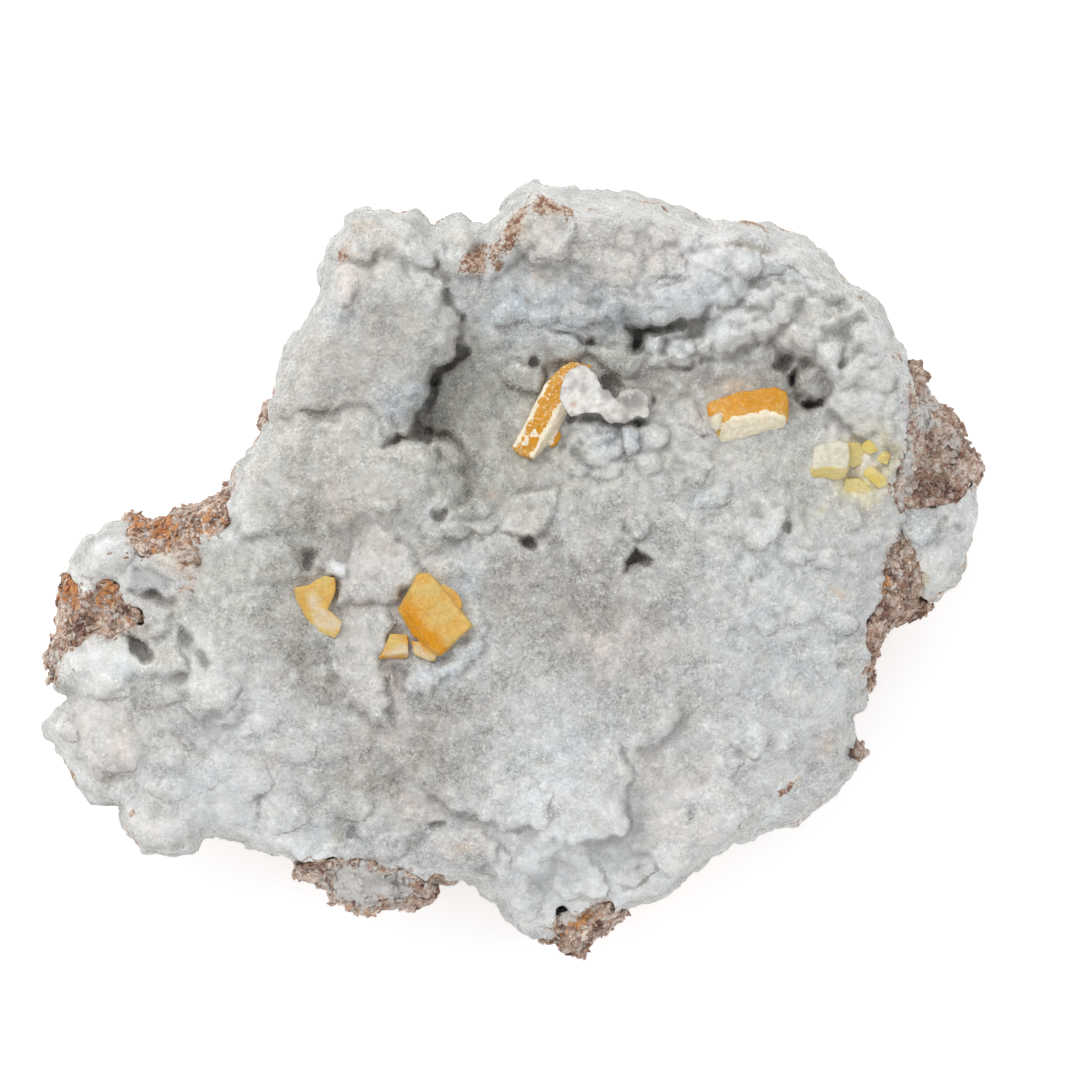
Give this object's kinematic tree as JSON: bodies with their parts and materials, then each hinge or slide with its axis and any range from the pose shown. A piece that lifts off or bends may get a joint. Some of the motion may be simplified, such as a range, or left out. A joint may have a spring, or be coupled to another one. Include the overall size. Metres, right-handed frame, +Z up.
{
  "type": "wulfenite mineral specimen on matrix",
  "caption": "Hand specimen of orange tabular wulfenite crystals on a lumpy grey-white crust of drusy calcite over brown limonite, lying with its display face up.",
  "frame": {"origin": "middle of the specimen's box in X and Y, on the plane that it rests on", "axes": "+X along the specimen's length, +Y across it, +Z up and out of the display face"},
  "size_m": [0.0946, 0.0776, 0.033],
  "materials": {
    "limonite": "rough, dull and earthy, with broken faces and small pits",
    "calcite": "drusy, finely sparkling, slightly translucent, grey-white with warm and cool tints",
    "wulfenite": "smooth and resinous, slightly translucent orange, paler and coated in places",
    "pale_wulfenite": "waxy pale yellow to cream, slightly translucent"
  },
  "bodies": {
    "root": {"limonite_matrix": "limonite", "calcite_crust": "calcite", "calcite_flank_patch": "calcite", "wulfenite_block": "wulfenite", "wulfenite_left_pair": "wulfenite", "wulfenite_tucked": "wulfenite", "wulfenite_leaning": "wulfenite", "wulfenite_bar": "wulfenite", "wulfenite_pale": "pale_wulfenite", "wulfenite_pale_flat": "pale_wulfenite", "wulfenite_bead_1": "pale_wulfenite", "wulfenite_bead_2": "pale_wulfenite", "wulfenite_bead_3": "pale_wulfenite"}
  },
  "joints": []
}
